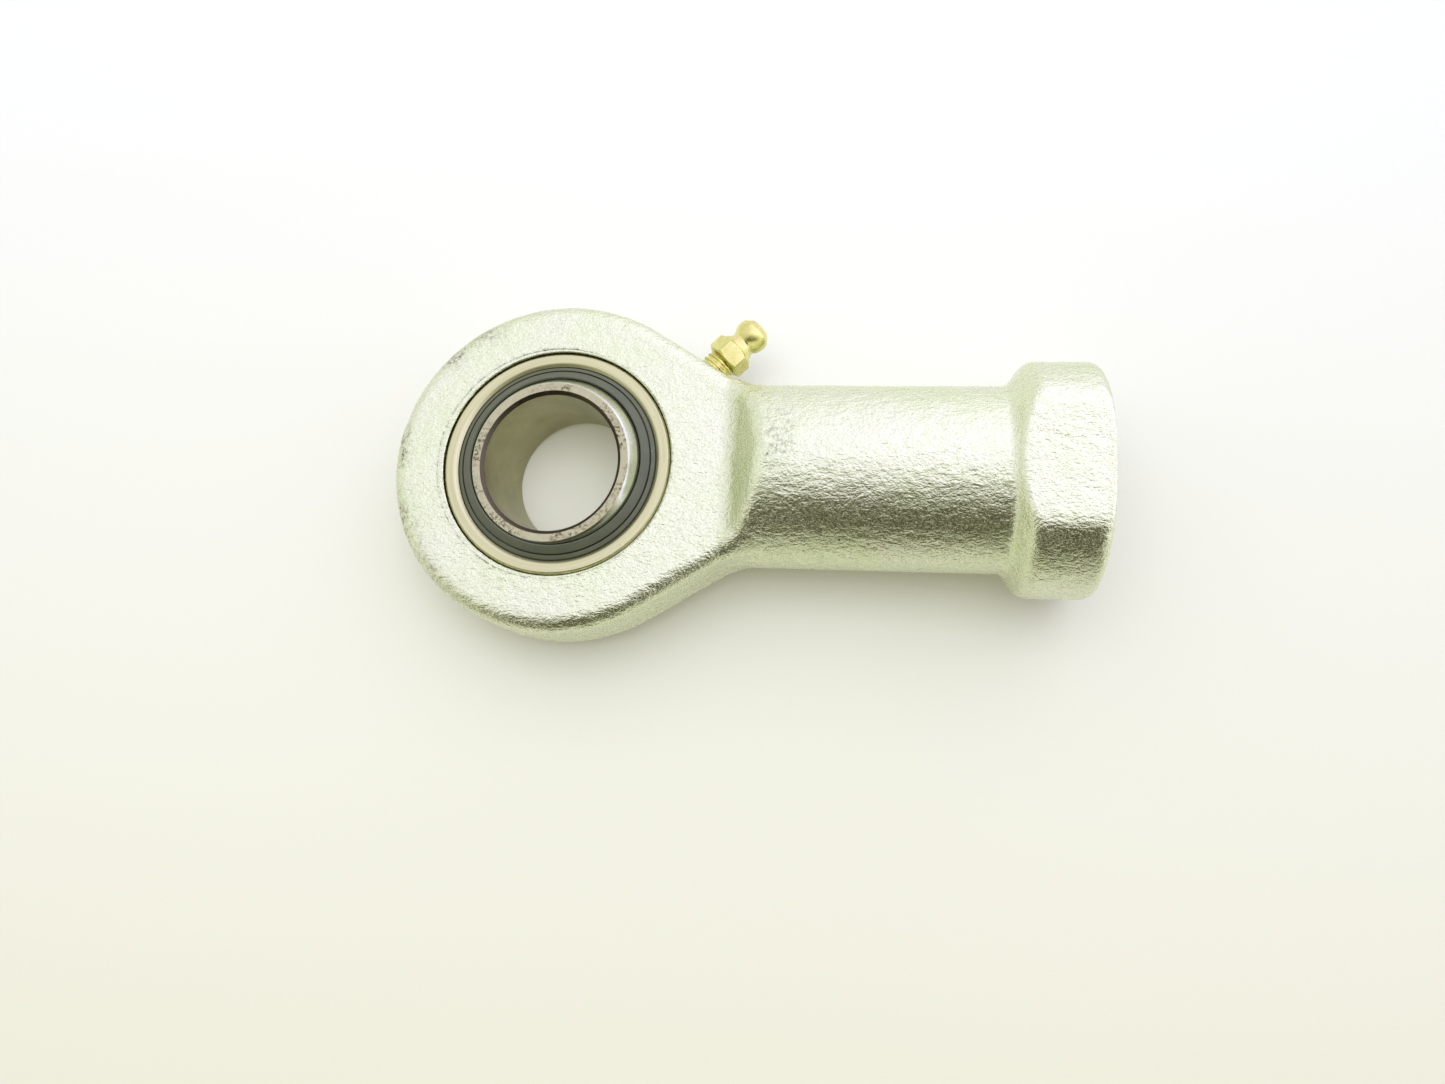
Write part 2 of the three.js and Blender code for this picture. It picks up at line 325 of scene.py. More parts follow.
def forged_skin():
    """The outside of the forging: rows are sections across X, spaced evenly along the plan's
    outline, and columns are spaced evenly round each section. The first row is the upright
    line where the two sides of the eye meet, and the last is the middle of the end face."""
    columns, rough = 296, 900
    eye_rows, shank_step, collar_step = 142, 0.47, 0.37
    collar_start, rim_start = END_X - 17, END_X - 2.3
    touch = math.pi / 2 + FLANK_SLOPE
    eye_x = -EYE_R * np.cos(np.linspace(0, touch, eye_rows)[1:])
    shank_x = np.arange(eye_x[-1] + shank_step, collar_start, shank_step)
    collar_x = np.arange(collar_start, rim_start, collar_step)
    end_x = SHANK_PROFILE[-END_STEPS:, 0]
    row_x = np.concatenate([eye_x, shank_x, collar_x, end_x])[:, None]
    angle = np.linspace(0, 2 * np.pi, rough + 1)[None] + np.pi / 2 + 0 * row_x
    reach = reach_of_skin(row_x, angle)
    y, z = reach * np.cos(angle), reach * np.sin(angle)
    step = np.hypot(np.diff(y, axis=1), np.diff(z, axis=1))
    length = np.concatenate([0 * row_x, np.cumsum(step, axis=1)], axis=1)
    share = np.arange(columns) / columns
    even = np.stack([np.interp(share * s[-1], s, a) for s, a in zip(length, angle)])
    reach = reach_of_skin(row_x, even)
    sections = np.stack([row_x + 0 * even, reach * np.cos(even), reach * np.sin(even)], axis=-1)
    tip = sections[:1] * [0, 0, 1] + [-EYE_R, 0, 0]
    lids = [sections[-1:] * [0, k, k] + [END_X, 0, 0] for k in (0.985, 0.9, 0.8, 0.7)]
    return np.concatenate([tip, sections, *lids])


def skin_normals(points):
    """Unit normals from the slope of the field, by differences over a twentieth of a mm."""
    x, y, z = points.T
    d = 0.05
    slope = np.stack([
        housing_field(x + d, y, z) - housing_field(x - d, y, z),
        housing_field(x, y + d, z) - housing_field(x, y - d, z),
        housing_field(x, y, z + d) - housing_field(x, y, z - d)], axis=-1)
    return slope / np.maximum(np.linalg.norm(slope, axis=1, keepdims=True), 1e-9)


def forge_marks(points):
    """Depth of the forging's unevenness in mm: broad swells, dents of a few millimetres and
    the coarse end of the shot-blasted grain, fading out at the turned end face."""
    swell = 0.055 * lattice_noise(points, 9.0, 3) + 0.03 * lattice_noise(points, 4.1, 4)
    grain = 0.02 * lattice_noise(points, 1.7, 5) + 0.016 * lattice_noise(points, 0.95, 6)
    rough = smooth_step(points[:, 0], RAMP_X - 1.5, RAMP_X + 6.5)
    rough = np.maximum(rough, 0.9 * smooth_step(np.hypot(points[:, 0], points[:, 1]), 27.5, 29.5))
    fade = 1 - smooth_step(points[:, 0], END_X - 1.6, END_X - 0.4)
    return (swell + grain * (0.75 + 0.75 * rough) - 0.07) * fade


def wear_and_land_shade(points):
    """0 to 1 where the zinc is scuffed through to brown steel: short stretches of the eye's rim and a
    spot above the fold, broken up. Also painted shade: a dark ring along the edge of the land round
    the seat, where the step is in shade."""
    x, y, z = points.T
    polar = np.degrees(np.arctan2(y, x)) % 360
    wear_and_shade = np.zeros(len(points))
    scuffed_rim = ((122, 6, 8.0, 0.8), (136, 6, 8.0, 0.8), (176, 9, 7.6, 0.7),
                   (205, 14, 6.6, 0.9), (222, 14, 6.0, 0.9))
    for middle, width, top, strength in scuffed_rim:
        stretch = np.exp(-((polar - middle) / width) ** 2)
        rim = np.exp(-((np.hypot(x, y) - EYE_R + 1.6) / 2.0) ** 2) * np.exp(-((z - top) / 2.0) ** 2)
        wear_and_shade = np.maximum(wear_and_shade, strength * stretch * rim)
    scuff_x, specks_x = RAMP_X + 7.3, RAMP_X + 8.6
    scuff = np.exp(-((x - scuff_x) / 0.8) ** 2 - ((y + 0.9) / 0.7) ** 2)
    specks = 0.5 * np.exp(-((x - specks_x) / 2.4) ** 2 - ((y - 2.5) / 4.5) ** 2)
    wear_and_shade = np.maximum(wear_and_shade, np.maximum(scuff, specks) * (z > 12))
    # painted shade: a dark ring along the edge of the land round the seat stands in for the shade at that
    # step
    land_edge_shade = np.exp(-((np.hypot(x - LAND_SHIFT, y) - LAND_R) / 0.09) ** 2) * (z > RING_HALF)
    broken = 0.5 + 0.5 * lattice_noise(points, 1.3, 8) + 0.5 * lattice_noise(points, 0.6, 9)
    return np.clip(wear_and_shade * broken * 1.9, 0, 1) + np.clip(land_edge_shade * (broken + 0.6), 0, 1)


def thread_cutter(crest, root, pitch, start, turns, columns=72):
    """A screw: a four-point tooth profile (radius, share of the pitch) carried along a helix
    about +X, each turn sharing its edge with the next, closed by a fan at each end."""
    teeth = np.array([[root, 0.0], [root, 0.14], [crest, 0.52], [crest, 0.66]])
    steps = turns * columns
    k = np.arange(steps + 1)[:, None]
    angle = 2 * np.pi * k / columns
    x = start + pitch * (k / columns + teeth[:, 1])
    r = teeth[:, 0]
    points = np.stack([x, r * np.cos(angle), r * np.sin(angle)], axis=-1).reshape(-1, 3)
    k, m = np.meshgrid(np.arange(steps), np.arange(3), indexing="ij")
    inner = np.stack([4 * k + m, 4 * k + 4 + m, 4 * k + 5 + m, 4 * k + 1 + m], -1).reshape(-1, 4)
    k = np.arange(steps - columns)
    far = 4 * (k + columns)
    link = np.stack([4 * k + 3, 4 * k + 7, far + 4, far], axis=-1)
    first = np.concatenate([4 * np.arange(columns + 1), [3, 2, 1]])
    last_k = np.arange(steps - columns, steps + 1)
    last = np.concatenate([4 * last_k + 3, 4 * steps + np.array([2, 1, 0])])
    hubs = [[points[first, 0].mean(), 0, 0], [points[last, 0].mean(), 0, 0]]
    hub = len(points)
    fans = [np.stack([first, 0 * first + hub, np.roll(first, -1)], axis=-1),
            np.stack([last, np.roll(last, -1), 0 * last + hub + 1], axis=-1)]
    quads = np.concatenate([inner, link])
    triangles = np.concatenate([quads[:, [0, 1, 2]], quads[:, [0, 2, 3]], *fans])
    vertices = placed(np.concatenate([points, hubs]), BALL_CENTRE, np.eye(3))
    return make_mesh("thread_cutter", vertices, triangles)


def plug(name, outline, origin, axis, columns=160):
    """A turned solid from an open (radius, height) outline that starts and ends on its axis."""
    rows = np.array(outline, float)[1:-1]
    angle = np.linspace(0, 2 * np.pi, columns, endpoint=False)
    points = np.stack([rows[:, :1] * np.cos(angle), rows[:, :1] * np.sin(angle),
                       rows[:, 1:] + 0 * angle], axis=-1).reshape(-1, 3)
    ends = [[0, 0, outline[0][1]], [0, 0, outline[-1][1]]]
    quads = grid_faces(len(rows), columns)
    j = np.arange(columns)
    ahead = (j + 1) % columns
    top = (len(rows) - 1) * columns
    hub = len(points)
    triangles = np.concatenate([
        quads[:, [0, 1, 2]], quads[:, [0, 2, 3]],
        np.stack([ahead, j, 0 * j + hub], -1), np.stack([top + j, top + ahead, 0 * j + hub + 1], -1)])
    vertices = placed(np.concatenate([points, ends]), origin, axes_about(axis))
    return make_mesh(name, vertices, triangles)


def seat_cutter():
    """The eye's bore, opening out in a small chamfer at each land."""
    z, chamfer, past = EYE_HALF - LAND_DEPTH, 0.14, 2
    wide = SEAT_R + chamfer + past
    outline = [[0, -z - past], [wide, -z - past], [SEAT_R, -z + chamfer],
               [SEAT_R, z - chamfer], [wide, z + past], [0, z + past]]
    return plug("seat_cutter", outline, BALL_CENTRE, (0, 0, 1), 256)


def land_cutter(side):
    """A flat disc off the seat's centre, with a short bevel up to the eye's face."""
    z, bevel = EYE_HALF - LAND_DEPTH, 0.12
    outline = [[0, z], [LAND_R - bevel, z], [LAND_R, z + bevel], [LAND_R, z + 2], [0, z + 2]]
    centre = BALL_CENTRE + np.array([LAND_SHIFT, 0, 0]) * MM
    return plug("land_cutter", outline, centre, (0, 0, side), 256)


def socket_mouth_cutter():
    """Countersink of the thread's mouth."""
    outline = [[0, -3], [10.6, -3], [THREAD_R + 1.25, -0.3], [THREAD_R + 1.25, 2], [0, 2]]
    return plug("mouth_cutter", outline, (0, 0, 0), (1, 0, 0))


def socket_bottom_cutter():
    """The drill's cylinder and cone beyond the thread."""
    depth = THREAD_DEPTH + 3
    r = THREAD_CREST_R + 0.15
    outline = [[0, -depth - r * 0.6], [r, -depth], [r, -THREAD_DEPTH + 6], [0, -THREAD_DEPTH + 6]]
    return plug("bottom_cutter", outline, (0, 0, 0), (1, 0, 0), 96)


def nipple_hole_cutter():
    """Spot face, tapped hole and the drilled way to the bearing."""
    s = SPOT_FACE
    outline = [[0, s - 20], [1.25, s - 20], [1.25, s - 6], [2.75, s - 4.5], [2.75, s - 0.5],
               [3.2, s - 0.05], [4.7, s], [4.7, s + 9], [0, s + 9]]
    return plug("hole_cutter", outline, CHECK_CENTRE, NIPPLE_AXIS, 96)


def housing():
    """The forging: its skin is pushed in and out by the forge marks, then bored, threaded and
    drilled. Faces left by the cutters get the machined finish."""
    grid = forged_skin()
    rows, columns = grid.shape[:2]
    points = grid.reshape(-1, 3)
    moved = points + skin_normals(points) * forge_marks(points)[:, None]
    moved[:columns] = points[:columns] + [0.07, 0, 0]
    hub = len(moved)
    vertices = placed(np.concatenate([moved, [[END_X, 0, 0]]]), BALL_CENTRE, np.eye(3))
    quads = grid_faces(rows, columns)
    triangles = np.concatenate([quads[:, [0, 1, 2]], quads[:, [0, 2, 3]]])
    j = np.arange(columns)
    last = (rows - 1) * columns
    lid = np.stack([last + j, last + (j + 1) % columns, 0 * j + hub], axis=-1)
    triangles = np.concatenate([triangles, lid])
    half = columns // 2
    mirrored = triangles < columns
    triangles = np.where(mirrored & (triangles > half), columns - triangles, triangles)
    used = np.unique(triangles)
    triangles = np.searchsorted(used, triangles)
    piece = make_mesh("forged_housing", vertices[used], triangles)
    screw = thread_cutter(THREAD_CREST_R, THREAD_R, THREAD_PITCH, END_X - THREAD_DEPTH, 26)
    cut(piece, seat_cutter(), land_cutter(1), land_cutter(-1), socket_bottom_cutter(),
        socket_mouth_cutter(), screw, nipple_hole_cutter())
    mesh = piece.data
    co = np.zeros(len(mesh.vertices) * 3)
    mesh.vertices.foreach_get("co", co)
    local = (co.reshape(-1, 3) - BALL_CENTRE) / MM
    # per-vertex scuffs, with painted shade in a dark ring along the edge of the land round the seat
    attribute = mesh.attributes.new("wear_and_shade", "FLOAT", "POINT")
    attribute.data.foreach_set("value", wear_and_land_shade(local).astype(np.float32))
    centre = np.zeros(len(mesh.polygons) * 3)
    mesh.polygons.foreach_get("center", centre)
    centre = centre.reshape(-1, 3)
    x, y, z = ((centre - BALL_CENTRE) / MM).T
    along = (centre - CHECK_CENTRE) @ NIPPLE_AXIS / MM
    off = np.linalg.norm(centre - CHECK_CENTRE - along[:, None] * MM * NIPPLE_AXIS, axis=1) / MM
    seat = np.hypot(x - LAND_SHIFT, y) < LAND_R + 0.01
    socket = (x > END_X - 60) & (np.hypot(y, z) < THREAD_R + 1.6)
    spot = (off < 4.68) & (along < SPOT_FACE + 0.1) & (along > SPOT_FACE - 22)
    machined = seat | socket | (x > END_X - 0.05) | spot
    mesh.polygons.foreach_set("material_index", machined.astype(np.int32))
    mesh.materials.clear()
    mesh.materials.append(forged_zinc())
    mesh.materials.append(machined_zinc())
    return smooth(piece, 42)


# ---- bearing ----
def sphere_height(r, distance):
    return math.sqrt(r * r - distance * distance)


def outer_ring():
    """The outer ring: a hollow spherical race, a pocket for each seal, a grease groove
    round the outside and two grease holes."""
    z, mouth_z, pocket_z = RING_HALF, 7.2, 5.85
    race = BALL_R + 0.05
    edge = math.degrees(math.asin(pocket_z / race))
    upper = [[18.98, z], [18.28, z - 0.5], [18.28, mouth_z], [18.9, mouth_z - 0.2], [18.9, pocket_z]]
    lower = [[r, -h] for r, h in upper[::-1]]
    hollow = arc(0, 0, race, edge, -edge, 20)
    groove = [[RING_R, 1.6], [RING_R - 0.9, 1.1], [RING_R - 0.9, -1.1], [RING_R, -1.6]]
    corners = [*upper, *hollow, *lower, [RING_R - 0.4, -z], [RING_R, -z + 0.4],
               *groove[::-1], [RING_R, z - 0.4], [RING_R - 0.4, z]]
    radii = [0.3, 0.15] + [0.12] * (len(corners) - 2)
    side_material = [1, 1] + [0] * (len(corners) - 2)
    piece = turned("bearing_outer_ring", corners, radii, BALL_CENTRE, (0, 0, 1), side_material)
    hole = [[0, -25], [1.25, -25], [1.25, 25], [0, 25]]
    cut(piece, plug("grease_hole", hole, BALL_CENTRE, NIPPLE_AXIS, 48))
    piece.data.materials.clear()
    piece.data.materials.append(turned_ring_steel())
    piece.data.materials.append(browned_steel())
    return smooth(piece)


def inner_ring():
    """The ball: a sphere between two flat faces, with a chamfered bore. Its axis leans."""
    z = BALL_HALF
    edge = math.degrees(math.asin((z - 0.16) / BALL_R))
    face_r = sphere_height(BALL_R, z) - 0.1
    sphere = arc(0, 0, BALL_R, -edge, edge, 56)
    corners = [[face_r, -z], *sphere, [face_r, z], [BORE_R + BORE_CHAMFER, z],
               [BORE_R, z - BORE_CHAMFER], [BORE_R, -z + BORE_CHAMFER], [BORE_R + BORE_CHAMFER, -z]]
    n = len(sphere)
    side_material = [0] * (n + 1) + [1, 2, 3, 2, 1]
    radii = [0.1] + [0.0] * n + [0.1, 0.07, 0.05, 0.05, 0.07]
    piece = turned("bearing_ball", corners, radii, BALL_CENTRE, BALL_AXIS, side_material, 320)
    for finish in (ground_steel(), ball_face_steel(), oxidised_chamfer(), honed_bore()):
        piece.data.materials.append(finish)
    return piece


def seal(name, side):
    """A double-lip seal turned about the eye's axis: a heel in the ring's pocket, a thin
    groove, and a broad lip that follows the ball."""
    lip = BALL_R + SEAL_GAP
    inner = [[r, sphere_height(lip, r)] for r in (15.62, 15.9, 16.2, 16.5, 16.85)]
    corners = [*inner, [17.1, 6.1], [18.7, 6.1], [18.7, 6.85], [18.16, 7.2], [18.16, 7.62],
               [17.46, 7.98], [17.4, 7.3], [17.24, 7.3], [17.18, 8.1], [15.85, 8.98]]
    radii = [0.03] * 5 + [0.1, 0.15, 0.1, 0.08, 0.14, 0.1, 0.03, 0.03, 0.09, 0.1]
    piece = turned(name, corners, radii, BALL_CENTRE, (0, 0, side))
    piece.data.materials.append(seal_rubber())
    return piece


# ---- grease nipple ----
def nipple_body():
    """The nipple: at each height and angle the outside is a body of revolution, cut to a
    chamfered hexagon or by a screw thread; the inside is its stepped bore."""
    f = HEX_FOOT
    head = arc(0, 0, 3.25, -38, 18, 18)
    head = [[r, z + f + 7.4] for r, z in head]
    outside = [[2.15, f - 6.3], [2.45, f - 5.9], [2.45, f - 4.3], [2.93, f - 4.0], [2.93, f - 0.35],
               [2.5, f - 0.1], [3.35, f], [4.12, f + 0.45], [4.12, f + 3.0], [3.3, f + 3.5],
               [2.95, f + 4.0], [2.55, f + 4.7], [2.42, f + 5.1], *head, [2.05, f + 9.5]]
    mouth = [[1.2, f + 9.5], [0.78, f + 9.1], [0.74, f + 8.75], [1.25, f + 8.1],
             [1.3, f + 7.4], [1.3, f - 5.2], [0.85, f - 5.5], [0.85, f - 6.3]]
    corners = np.array(outside + mouth)
    outline, _ = rounded(corners, [0.1] * len(corners), 3)
    fine = [outline[0]]
    for a, b in zip(outline, np.roll(outline, -1, axis=0)):
        pieces = max(1, int(np.linalg.norm(b - a) / 0.11))
        fine.extend(a + (b - a) * t for t in np.linspace(0, 1, pieces + 1)[1:])
    outline = np.array(fine[:-1])
    columns = 144
    angle = np.linspace(0, 2 * np.pi, columns, endpoint=False)[None]
    r, z = outline[:, :1] + 0 * angle, outline[:, 1:] + 0 * angle
    outer = r > 1.9
    turn = (angle - HEX_TURN + np.pi / 6) % (np.pi / 3) - np.pi / 6
    hexagon = HEX_HALF / np.cos(turn)
    in_hex = outer & (z > f - 0.02) & (z < f + 3.7)
    r = np.where(in_hex, np.minimum(r, hexagon), r)
    phase = np.abs((z - angle / (2 * np.pi)) % 1.0 - 0.5) * 2
    depth = 0.52 * smooth_step(phase, 0.2, 0.72)
    in_thread = outer & (z > f - 4.2) & (z < f - 0.3)
    r = np.where(in_thread, np.minimum(r, 2.96 - depth), r)
    points = np.stack([r * np.cos(angle), r * np.sin(angle), z], axis=-1)
    up = np.array([0.0, 0.0, 1.0])
    axes = [up, np.cross(NIPPLE_AXIS, up), NIPPLE_AXIS]
    rows = len(outline)
    quads = grid_faces(rows + 1, columns) % (rows * columns)
    piece = make_mesh("grease_nipple", placed(points, CHECK_CENTRE, axes), quads)
    piece.data.materials.append(yellow_passivate())
    return smooth(piece, 34)


def nipple_spring():
    """The spring: a round wire carried along a helix whose end turns lie flat."""
    coil_r, wire_r, turns, sides = 0.9, 0.17, 8, 12
    foot, length = SPRING_LOW, SPRING_HIGH - SPRING_LOW
    t = np.linspace(0, 1, turns * 40 + 1)
    rise = smooth_step(t, 0.0, 0.16) * 0.1 + np.clip((t - 0.1) / 0.8, 0, 1) * 0.82
    rise += smooth_step(t, 0.84, 1.0) * 0.08
    angle = 2 * np.pi * turns * t
    centre = np.stack([coil_r * np.cos(angle), coil_r * np.sin(angle), foot + length * rise], -1)
    out = np.stack([np.cos(angle), np.sin(angle), 0 * t], axis=-1)
    along = np.gradient(centre, axis=0)
    along /= np.linalg.norm(along, axis=1, keepdims=True)
    across = np.cross(along, out)
    round_wire = np.linspace(0, 2 * np.pi, sides, endpoint=False)[:, None]
    taper = np.ones(len(t))[:, None, None]
    taper[[0, -1]] = 0.7
    spoke = np.cos(round_wire) * out[:, None] + np.sin(round_wire) * across[:, None]
    points = centre[:, None] + wire_r * taper * spoke
    points = np.concatenate([points[:1] * 0 + centre[0], points, points[:1] * 0 + centre[-1]])
    piece = make_mesh("nipple_spring_wire", placed(points, CHECK_CENTRE, axes_about(NIPPLE_AXIS)),
                      grid_faces(len(points), sides))
    return piece


def check_ball():
    """A sphere: latitude by longitude, with each pole one vertex."""
    r = 0.94
    outline = [[r * math.sin(a), -r * math.cos(a)] for a in np.linspace(0, math.pi, 33)]
    outline[0][0] = outline[-1][0] = 0.0
    return plug("nipple_ball", outline, CHECK_CENTRE, NIPPLE_AXIS, 64)


# ---- finishes ----
def node(tree, kind, inputs=None, **settings):
    """A shader node with its settings, and its inputs linked or given a value."""
    made = tree.nodes.new(kind)
    for key, value in settings.items():
        setattr(made, key, value)
    for key, value in (inputs or {}).items():
        if isinstance(value, bpy.types.NodeSocket):
            tree.links.new(value, made.inputs[key])
        else:
            made.inputs[key].default_value = value
    return made


def new_finish(name, metallic, roughness, color):
    """A material with a Principled shader, and its tree and shader."""
    finish = bpy.data.materials.new(name)
    finish.use_nodes = True
    tree = finish.node_tree
    shader = tree.nodes["Principled BSDF"]
    shader.inputs["Metallic"].default_value = metallic
    shader.inputs["Roughness"].default_value = roughness
    shader.inputs["Base Color"].default_value = (*color, 1)
    return finish, tree, shader


def place(tree, kind="Object", scale=(1, 1, 1)):
    """Object or UV coordinates, stretched by scale."""
    source = node(tree, "ShaderNodeTexCoord").outputs[kind]
    if tuple(scale) == (1, 1, 1):
        return source
    return node(tree, "ShaderNodeMapping", {"Vector": source, "Scale": scale}).outputs[0]


def noise(tree, at, per_metre, detail=2.0, rough=0.55):
    """Noise whose features are about 1 / per_metre across."""
    inputs = {"Vector": at, "Scale": per_metre, "Detail": detail, "Roughness": rough}
    return node(tree, "ShaderNodeTexNoise", inputs).outputs[0]


def span(tree, value, low, high, to_low=0.0, to_high=1.0):
    """value stretched so that low becomes to_low and high to_high, and clamped there."""
    inputs = {"Value": value, 1: low, 2: high, 3: to_low, 4: to_high}
    return node(tree, "ShaderNodeMapRange", inputs).outputs[0]


def calc(tree, operation, a, b):
    return node(tree, "ShaderNodeMath", {0: a, 1: b}, operation=operation).outputs[0]


def blend_color(tree, share, a, b):
    a = (*a, 1) if isinstance(a, tuple) else a
    b = (*b, 1) if isinstance(b, tuple) else b
    return node(tree, "ShaderNodeMix", {0: share, 6: a, 7: b}, data_type="RGBA").outputs[2]


def relief(tree, height, depth_mm, under=None):
    """A bump whose full height is depth_mm."""
    inputs = {"Height": height, "Distance": depth_mm * MM, "Strength": 1.0}
    if under is not None:
        inputs["Normal"] = under
    return node(tree, "ShaderNodeBump", inputs).outputs[0]


def finish_with(tree, shader, color=None, roughness=None, normal=None):
    for socket, value in (("Base Color", color), ("Roughness", roughness), ("Normal", normal)):
        if value is not None:
            tree.links.new(value, shader.inputs[socket])


def forged_zinc():
    """Bright zinc over a shot-blasted forging: grain at three sizes, pits, a pale green cast
    that comes and goes, dull specks, and brown steel where the zinc is scuffed, which also paints
    shade as a dark ring along the edge of the land round the seat."""
    finish, tree, shader = new_finish("forged_zinc", 1.0, 0.4, (0.8, 0.84, 0.68))
    at = place(tree)
    drawn = place(tree, scale=(0.7, 1, 1))
    coarse = noise(tree, drawn, 700, 3, 0.6)
    middle = noise(tree, drawn, 2200, 3, 0.6)
    fine = noise(tree, at, 4200, 2, 0.5)
    pits = node(tree, "ShaderNodeTexVoronoi", {"Vector": at, "Scale": 1150.0}).outputs["Distance"]
    pit = span(tree, pits, 0.08, 0.34)
    height = calc(tree, "MULTIPLY", coarse, 0.78)
    for part, share in ((middle, 0.46), (fine, 0.16), (pit, 0.07)):
        height = calc(tree, "ADD", height, calc(tree, "MULTIPLY", part, share))
    cloud = noise(tree, at, 95, 3, 0.6)
    color = blend_color(tree, span(tree, cloud, 0.35, 0.65), (0.80, 0.83, 0.615), (0.77, 0.83, 0.56))
    speckle = span(tree, noise(tree, at, 3100, 2, 0.6), 0.46, 0.64, 0.0, 0.2)
    color = blend_color(tree, speckle, color, (0.44, 0.47, 0.28))
    dull = span(tree, noise(tree, at, 1900, 3, 0.7), 0.60, 0.72, 0.0, 0.45)
    color = blend_color(tree, dull, color, (0.44, 0.44, 0.29))
    spots = span(tree, noise(tree, at, 480, 4, 0.75), 0.70, 0.76)
    color = blend_color(tree, calc(tree, "MULTIPLY", spots, 0.6), color, (0.30, 0.29, 0.22))
    # brown steel at the scuffs, and painted shade: a dark ring along the edge of the land round the seat
    wear_and_shade = node(tree, "ShaderNodeAttribute", attribute_name="wear_and_shade").outputs["Fac"]
    broken = span(tree, noise(tree, at, 1400, 4, 0.75), 0.42, 0.62)
    worn_and_shaded = calc(tree, "MULTIPLY", wear_and_shade, broken)
    color = blend_color(tree, worn_and_shaded, color, (0.16, 0.14, 0.10))
    rough = span(tree, middle, 0.3, 0.7, 0.17, 0.31)
    rough = calc(tree, "ADD", rough, calc(tree, "MULTIPLY", worn_and_shaded, 0.25))
    finish_with(tree, shader, color, rough, relief(tree, height, 0.36))
    return finish


def machined_zinc():
    """Zinc over a turned surface: fine tool lines and light stains, with painted shade darkening the
    land's edge.
    """
    finish, tree, shader = new_finish("machined_zinc", 1.0, 0.3, (0.78, 0.79, 0.66))
    at = place(tree)
    stain = noise(tree, at, 420, 3, 0.65)
    color = blend_color(tree, span(tree, stain, 0.35, 0.7), (0.80, 0.81, 0.60), (0.62, 0.61, 0.41))
    # darkened near black at the scuffs and in painted shade: a dark ring along the edge of the land round
    # the seat
    wear_and_shade = node(tree, "ShaderNodeAttribute", attribute_name="wear_and_shade").outputs["Fac"]
    worn_and_shaded = calc(tree, "MULTIPLY", wear_and_shade, span(tree, noise(tree, at, 1900, 3, 0.7), 0.4, 0.55))
    color = blend_color(tree, worn_and_shaded, color, (0.07, 0.05, 0.03))
    lines = noise(tree, place(tree, scale=(1, 1, 6)), 1900, 2, 0.5)
    finish_with(tree, shader, color, span(tree, stain, 0.3, 0.7, 0.24, 0.4), relief(tree, lines, 0.02))
    return finish


def turned_lines(tree, per_mm, stretch):
    """Noise drawn out round the ring, from the UV map."""
    at = place(tree, "UV", (1 / stretch, per_mm, 1))
    return noise(tree, at, 1.0, 2, 0.6)


def turned_ring_steel():
    """Fine turned bearing steel, warm with a thin film of oil, and a few brown freckles."""
    finish, tree, shader = new_finish("turned_ring_steel", 1.0, 0.3, (0.60, 0.57, 0.44))
    lines = turned_lines(tree, 9.0, 14.0)
    broad = turned_lines(tree, 1.2, 30.0)
    color = blend_color(tree, span(tree, broad, 0.35, 0.65), (0.63, 0.615, 0.355), (0.55, 0.535, 0.305))
    freckle = span(tree, noise(tree, place(tree), 900, 3, 0.7), 0.68, 0.74, 0.0, 0.6)
    color = blend_color(tree, freckle, color, (0.30, 0.22, 0.14))
    finish_with(tree, shader, color, span(tree, lines, 0.3, 0.7, 0.26, 0.42), relief(tree, lines, 0.012))
    return finish


def browned_steel():
    """The ring's inner bevel, browned by heat treatment."""
    finish, tree, shader = new_finish("browned_steel", 1.0, 0.4, (0.30, 0.26, 0.19))
    lines = turned_lines(tree, 7.0, 10.0)
    color = blend_color(tree, lines, (0.30, 0.275, 0.20), (0.20, 0.18, 0.125))
    finish_with(tree, shader, color, span(tree, lines, 0.3, 0.7, 0.34, 0.5), relief(tree, lines, 0.01))
    return finish


def ground_steel():
    """The ball's ground and polished sphere, with faint smears of grease."""
    finish, tree, shader = new_finish("ground_steel", 1.0, 0.2, (0.72, 0.76, 0.72))
    smear = noise(tree, place(tree), 190, 3, 0.6)
    lines = turned_lines(tree, 14.0, 30.0)
    color = blend_color(tree, span(tree, smear, 0.35, 0.7), (0.66, 0.70, 0.56), (0.50, 0.52, 0.40))
    finish_with(tree, shader, color, span(tree, smear, 0.3, 0.75, 0.16, 0.34), relief(tree, lines, 0.006))
    return finish


def ball_face_steel():
    """The ball's flat faces: ground steel speckled with surface rust, in patches."""
    finish, tree, shader = new_finish("ball_face_steel", 1.0, 0.36, (0.66, 0.62, 0.50))
    at = place(tree)
    patch = span(tree, noise(tree, at, 130, 2, 0.6), 0.42, 0.56)
    fine = noise(tree, at, 1700, 4, 0.75)
    color = blend_color(tree, noise(tree, at, 700, 3, 0.6), (0.55, 0.53, 0.335), (0.41, 0.39, 0.235))
    dull = span(tree, fine, 0.54, 0.68)
    color = blend_color(tree, calc(tree, "MULTIPLY", dull, 0.55), color, (0.34, 0.31, 0.19))
    rust = calc(tree, "MULTIPLY", span(tree, fine, 0.5, 0.57), patch)
    color = blend_color(tree, calc(tree, "MULTIPLY", rust, 0.9), color, (0.16, 0.115, 0.055))
    rough = span(tree, rust, 0.0, 1.0, 0.32, 0.7)
    finish_with(tree, shader, color, rough, relief(tree, fine, 0.02))
    return finish


def oxidised_chamfer():
    """The bore's chamfers, left dark from hardening, with a reddish edge."""
    finish, tree, shader = new_finish("oxidised_chamfer", 1.0, 0.45, (0.14, 0.12, 0.10))
    grain = noise(tree, place(tree), 1300, 4, 0.7)
    color = blend_color(tree, grain, (0.06, 0.052, 0.034), (0.17, 0.145, 0.095))
    finish_with(tree, shader, color, span(tree, grain, 0.3, 0.7, 0.36, 0.55), relief(tree, grain, 0.015))
    return finish


